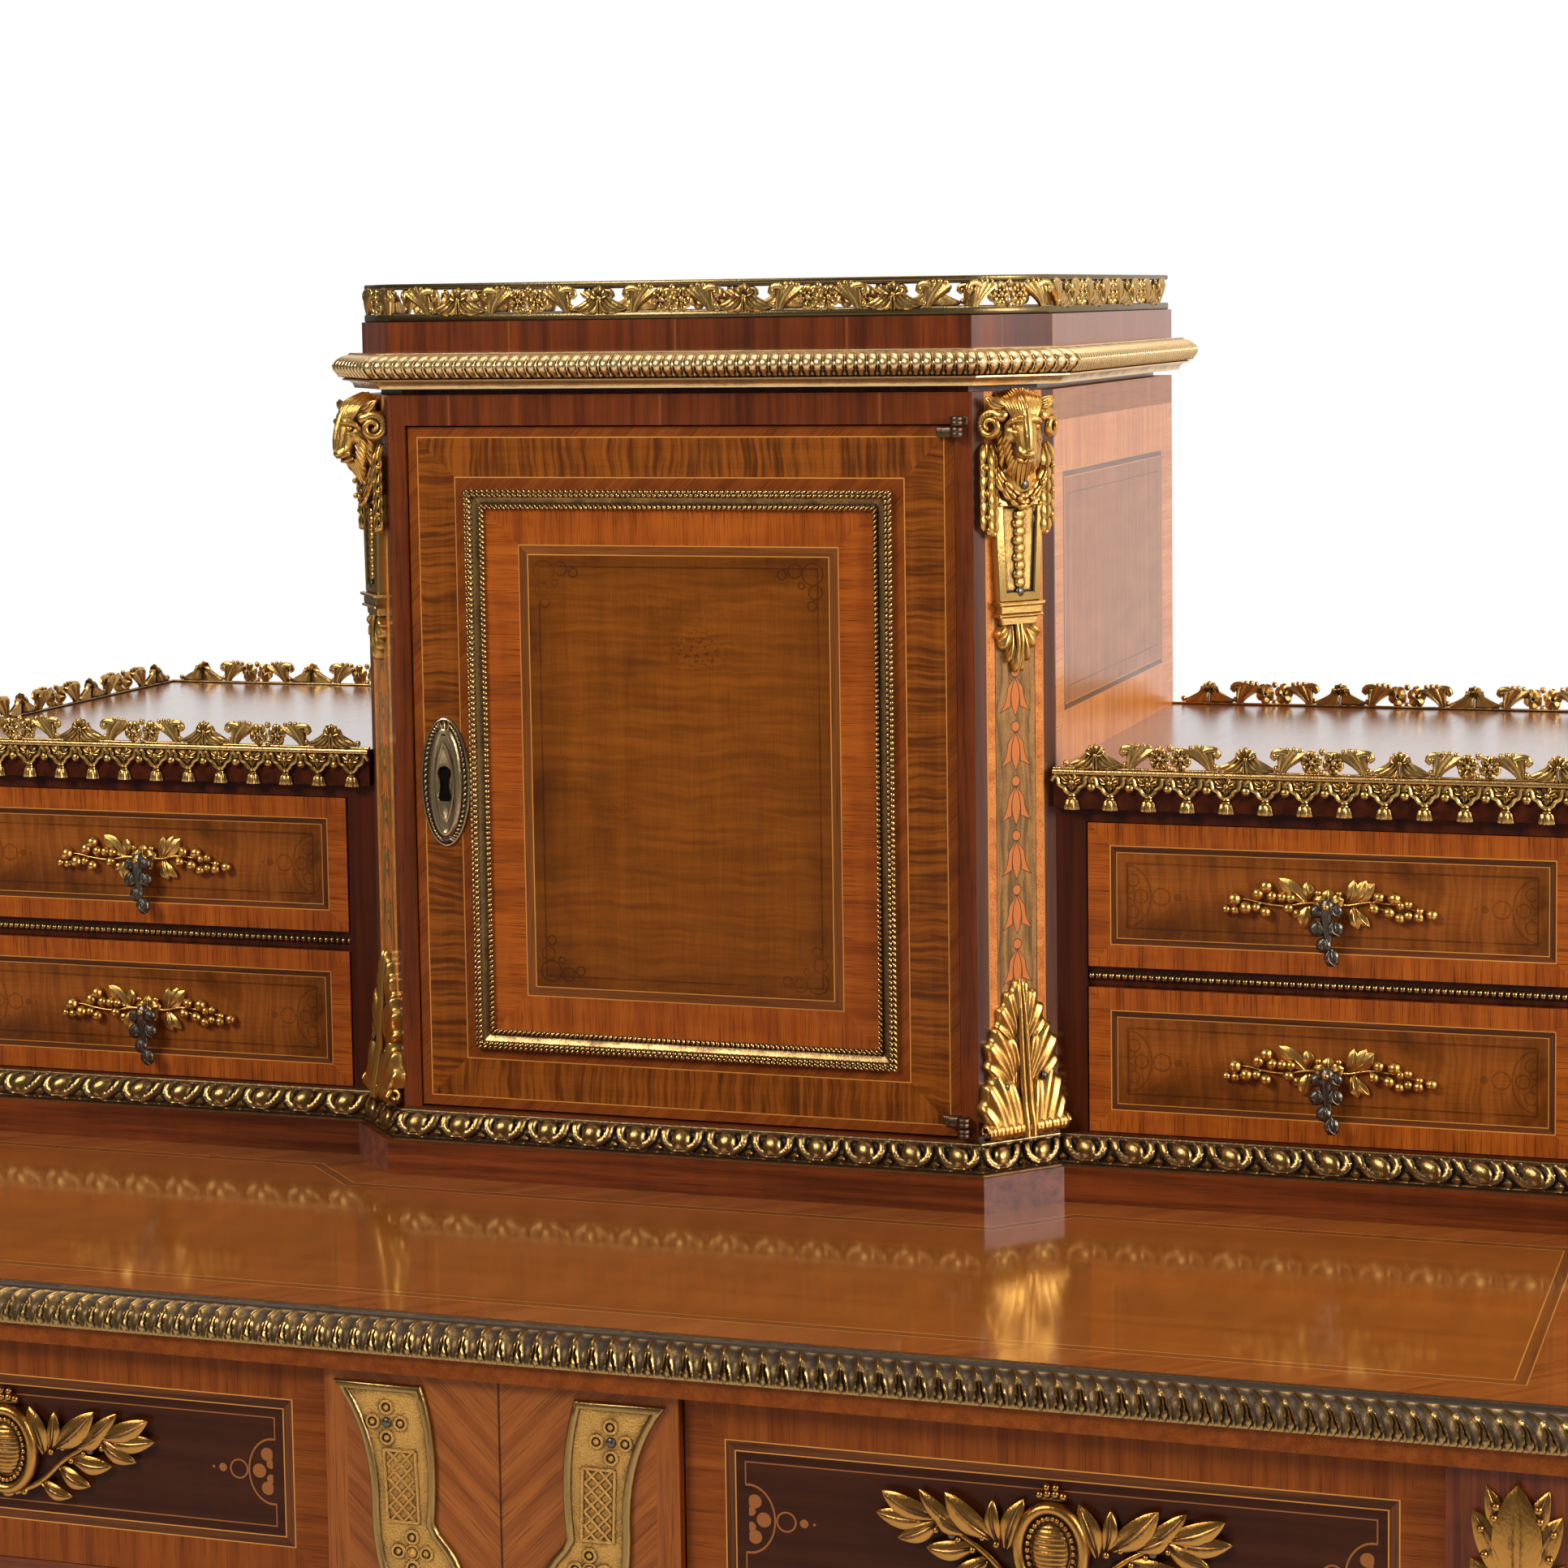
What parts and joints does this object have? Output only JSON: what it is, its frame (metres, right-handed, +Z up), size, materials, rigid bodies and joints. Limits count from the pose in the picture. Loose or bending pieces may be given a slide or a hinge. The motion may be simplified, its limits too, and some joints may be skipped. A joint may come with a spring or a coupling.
{
  "type": "bonheur du jour",
  "caption": "Small writing table with a raised centre cabinet between low drawer wings, marquetry veneers, gilt mounts, pierced galleries and frieze drawers.",
  "frame": {"origin": "on the floor under the middle of the table", "axes": "+Z up, +Y towards the back, +X to the right of someone facing the door"},
  "size_m": [1.006, 0.606, 1.2248],
  "materials": {
    "mahogany": "french polished red-brown mahogany",
    "door_veneer": "figured satinwood and tulipwood veneers, polished",
    "drawer_veneer": "cross-banded satinwood veneer, polished",
    "top_veneer": "satinwood veneer with tulipwood banding, glossy",
    "light_veneer": "tulipwood veneer, polished",
    "inner_wood": "plain oak",
    "gilt_bronze": "mercury gilt, burnished on the high points",
    "aged_brass": "worn gilding over brown patina",
    "dark_bronze": "dark patinated bronze",
    "lock_steel": "filed steel"
  },
  "bodies": {
    "carcass": {"acanthus_mounts": "gilt_bronze", "bead_strips": "aged_brass", "cabinet_back": "inner_wood", "cabinet_floor": "inner_wood", "cabinet_shelf": "inner_wood", "cabinet_sides": "light_veneer", "cabinet_sub_top": "inner_wood", "cabinet_top_rail": "mahogany", "cap_gallery": "gilt_bronze", "corner_posts": "mahogany", "cornice_board": "mahogany", "cornice_moulding": "gilt_bronze", "egg_and_dart_moulding": "aged_brass", "frieze_back_panel": "inner_wood", "frieze_bottom_rails": "mahogany", "frieze_centre_block": "light_veneer", "frieze_drawer_runners": "inner_wood", "frieze_partitions": "inner_wood", "frieze_side_panels": "light_veneer", "hinge_plates": "dark_bronze", "leg_leaf_mounts": "gilt_bronze", "leg_shoes": "gilt_bronze", "legs": "mahogany", "ram_mounts": "gilt_bronze", "strap_mounts": "gilt_bronze", "table_edge_moulding": "aged_brass", "table_top": "top_veneer", "upper_base": "mahogany", "wing_cases": "mahogany", "wing_galleries": "gilt_bronze", "wing_tops": "light_veneer"},
    "door": {"door_panel": "door_veneer", "door_frame_moulding": "aged_brass", "escutcheon": "aged_brass", "lock_case": "lock_steel", "hinge_leaves": "dark_bronze"},
    "bolt": {"lock_bolt": "lock_steel"},
    "wing_drawer_left_lower": {"wing_drawer_front_left_lower": "drawer_veneer", "wing_drawer_box_left_lower": "inner_wood", "pull_spray_left_lower": "gilt_bronze"},
    "drop_left_lower": {"pull_drop_left_lower": "dark_bronze"},
    "wing_drawer_left_upper": {"wing_drawer_front_left_upper": "drawer_veneer", "wing_drawer_box_left_upper": "inner_wood", "pull_spray_left_upper": "gilt_bronze"},
    "drop_left_upper": {"pull_drop_left_upper": "dark_bronze"},
    "frieze_drawer_left": {"frieze_drawer_front_left": "drawer_veneer", "frieze_drawer_box_left": "inner_wood", "laurel_mount_left": "gilt_bronze"},
    "wing_drawer_right_lower": {"wing_drawer_front_right_lower": "drawer_veneer", "wing_drawer_box_right_lower": "inner_wood", "pull_spray_right_lower": "gilt_bronze"},
    "drop_right_lower": {"pull_drop_right_lower": "dark_bronze"},
    "wing_drawer_right_upper": {"wing_drawer_front_right_upper": "drawer_veneer", "wing_drawer_box_right_upper": "inner_wood", "pull_spray_right_upper": "gilt_bronze"},
    "drop_right_upper": {"pull_drop_right_upper": "dark_bronze"},
    "frieze_drawer_right": {"frieze_drawer_front_right": "drawer_veneer", "frieze_drawer_box_right": "inner_wood", "laurel_mount_right": "gilt_bronze"}
  },
  "joints": [
    {"name": "door_hinge", "type": "hinge", "parent": "carcass", "child": "door", "pos_m": [0.1526, -0.0382, 0.968], "axis": [0, 0, 1], "range_deg": [0, 95]},
    {"name": "bolt_slide", "type": "slide", "parent": "door", "child": "bolt", "axis": [-1, 0, 0], "range_m": [0, 0.008]},
    {"name": "wing_drawer_left_lower_slide", "type": "slide", "parent": "carcass", "child": "wing_drawer_left_lower", "axis": [0, -1, 0], "range_m": [0, 0.2]},
    {"name": "drop_left_lower_swing", "type": "hinge", "parent": "wing_drawer_left_lower", "child": "drop_left_lower", "pos_m": [-0.33215, 0.0042, 0.822], "axis": [0, 1, 0], "range_deg": [-80, 80]},
    {"name": "wing_drawer_left_upper_slide", "type": "slide", "parent": "carcass", "child": "wing_drawer_left_upper", "axis": [0, -1, 0], "range_m": [0, 0.2]},
    {"name": "drop_left_upper_swing", "type": "hinge", "parent": "wing_drawer_left_upper", "child": "drop_left_upper", "pos_m": [-0.33215, 0.0042, 0.9078], "axis": [0, 1, 0], "range_deg": [-80, 80]},
    {"name": "frieze_drawer_left_slide", "type": "slide", "parent": "carcass", "child": "frieze_drawer_left", "axis": [0, -1, 0], "range_m": [0, 0.33]},
    {"name": "wing_drawer_right_lower_slide", "type": "slide", "parent": "carcass", "child": "wing_drawer_right_lower", "axis": [0, -1, 0], "range_m": [0, 0.2]},
    {"name": "drop_right_lower_swing", "type": "hinge", "parent": "wing_drawer_right_lower", "child": "drop_right_lower", "pos_m": [0.33215, 0.0042, 0.822], "axis": [0, 1, 0], "range_deg": [-80, 80]},
    {"name": "wing_drawer_right_upper_slide", "type": "slide", "parent": "carcass", "child": "wing_drawer_right_upper", "axis": [0, -1, 0], "range_m": [0, 0.2]},
    {"name": "drop_right_upper_swing", "type": "hinge", "parent": "wing_drawer_right_upper", "child": "drop_right_upper", "pos_m": [0.33215, 0.0042, 0.9078], "axis": [0, 1, 0], "range_deg": [-80, 80]},
    {"name": "frieze_drawer_right_slide", "type": "slide", "parent": "carcass", "child": "frieze_drawer_right", "axis": [0, -1, 0], "range_m": [0, 0.33]}
  ]
}
